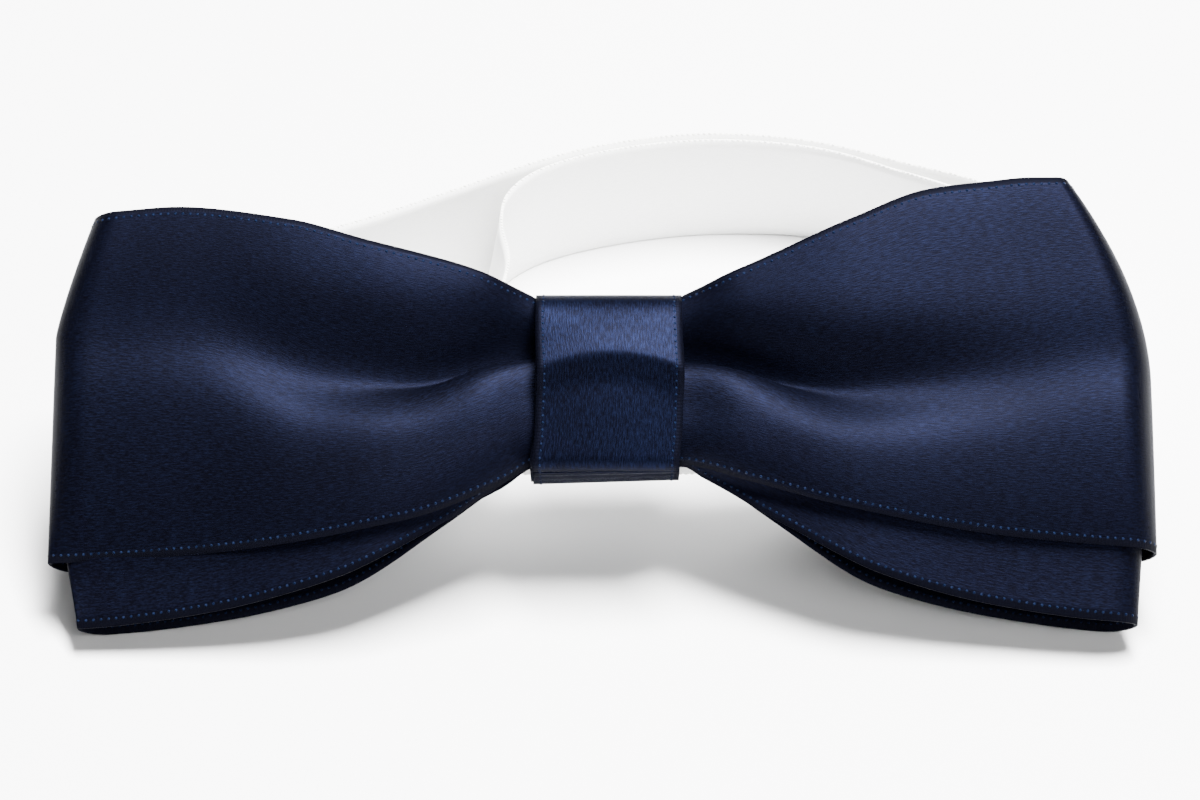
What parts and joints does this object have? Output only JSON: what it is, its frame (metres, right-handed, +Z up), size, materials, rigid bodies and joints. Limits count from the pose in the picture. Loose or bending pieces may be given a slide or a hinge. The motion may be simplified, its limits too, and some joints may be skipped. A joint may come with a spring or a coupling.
{
  "type": "bow tie",
  "caption": "Ready-tied bow tie of nested ribbon loops under a centre band, with an open neck ribbon, slider, hook and eye.",
  "frame": {"origin": "centre of the bounding box, on the table the tie stands on", "axes": "+X to the right along the bow, +Y away from the bow's front towards the neck ribbon, +Z up off the table"},
  "size_m": [0.1136, 0.0791, 0.036],
  "materials": {
    "wide_satin_ribbon": "navy satin weave with a soft sheen",
    "narrow_satin_ribbon": "navy satin weave with a soft sheen",
    "navy_thread": "twisted sewing thread",
    "white_ribbon": "white satin ribbon with picot edges",
    "white_thread": "twisted sewing thread",
    "plated_steel": "bright nickel plate"
  },
  "bodies": {
    "bow": {"outer_loop": "wide_satin_ribbon", "inner_loop": "wide_satin_ribbon", "outer_loop_seam": "navy_thread", "inner_loop_seam": "navy_thread", "binding_thread": "navy_thread", "centre_band": "narrow_satin_ribbon", "band_stitches": "navy_thread", "neck_ribbon": "white_ribbon", "neck_ribbon_tack": "white_thread", "tail_hem_stitches": "white_thread", "eye_loop_stitches": "white_thread"},
    "hook": {"hook": "plated_steel"},
    "slider": {"slider": "plated_steel"},
    "eye": {"eye": "plated_steel"}
  },
  "joints": [
    {"name": "hook_swing", "type": "hinge", "parent": "bow", "child": "hook", "pos_m": [-0.04285, 0.0029, 0.0098], "axis": [0, 0, 1], "range_deg": [-60, 20]},
    {"name": "eye_swing", "type": "hinge", "parent": "bow", "child": "eye", "pos_m": [0.04165, 0.0111, 0.0098], "axis": [0, 0, 1], "range_deg": [-35, 35]},
    {"name": "slider_slide", "type": "slide", "parent": "bow", "child": "slider", "axis": [0.787, 0.617, 0], "range_m": [-0.002, 0.005]}
  ]
}
